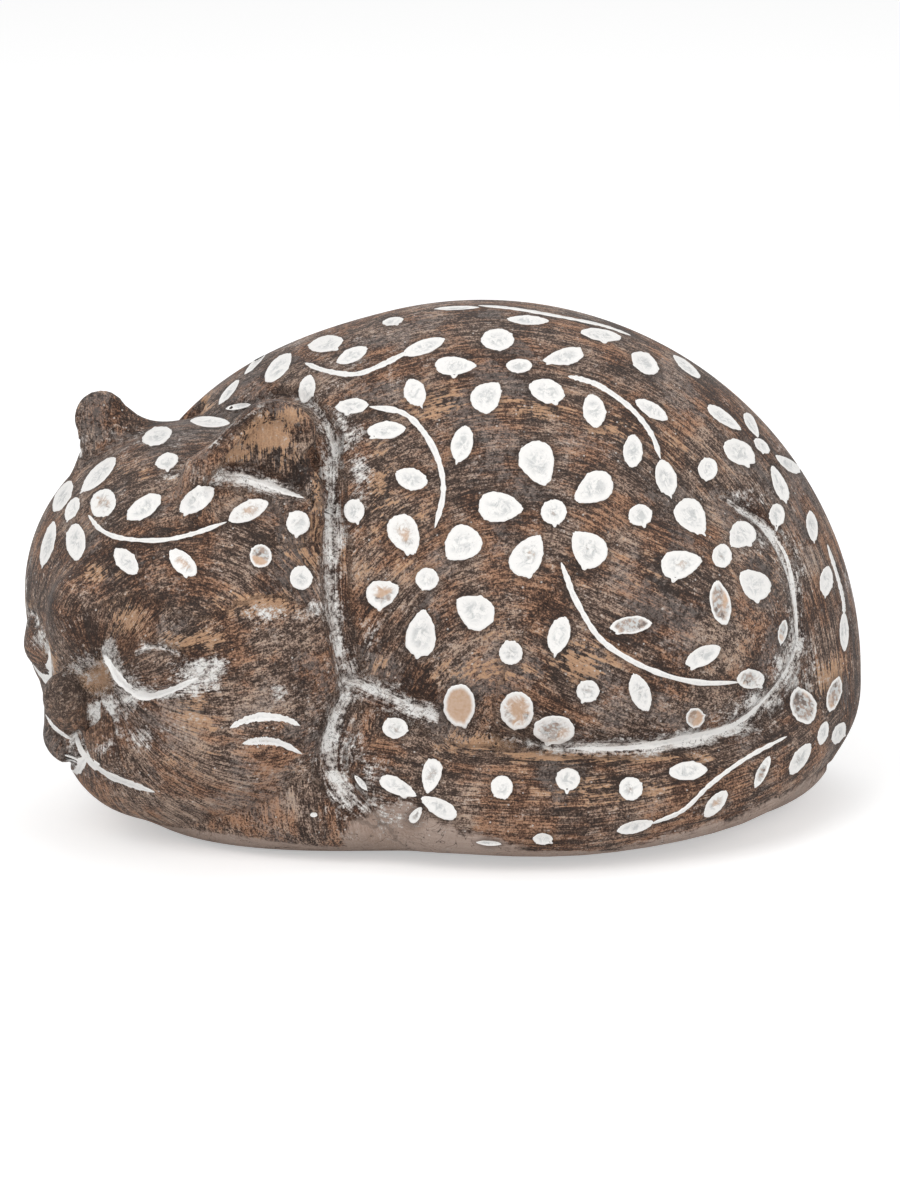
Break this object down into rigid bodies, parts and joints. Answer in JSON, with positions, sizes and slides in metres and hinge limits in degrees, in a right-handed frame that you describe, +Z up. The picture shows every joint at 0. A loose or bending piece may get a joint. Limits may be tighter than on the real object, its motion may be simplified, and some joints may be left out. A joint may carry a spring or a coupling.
{
  "type": "cat figurine",
  "caption": "Curled sleeping cat figurine: a hollow resin casting with carved-look floral ornament, closed underneath by a glued plate with a plug, resting on felt discs.",
  "frame": {"origin": "on the surface the figurine stands on, below the middle of its length and depth", "axes": "+Z up, +X along the body towards the rump, with the head at -X, and -Y towards the side that shows the haunch and the tail"},
  "size_m": [0.1598, 0.0992, 0.0962],
  "materials": {
    "stained_resin": "dark brown stain brushed thin over the high spots, with chalky white paint in the carved ornament",
    "bare_resin": "unpainted, matt",
    "soft_plastic": "smooth, slightly waxy",
    "felt": "short matted fibres"
  },
  "bodies": {
    "root": {"body_casting": "stained_resin", "base_plate": "bare_resin", "filler_plug": "soft_plastic", "felt_disc_front_left": "felt", "felt_disc_front_right": "felt", "felt_disc_rear_left": "felt", "felt_disc_rear_right": "felt"}
  },
  "joints": []
}
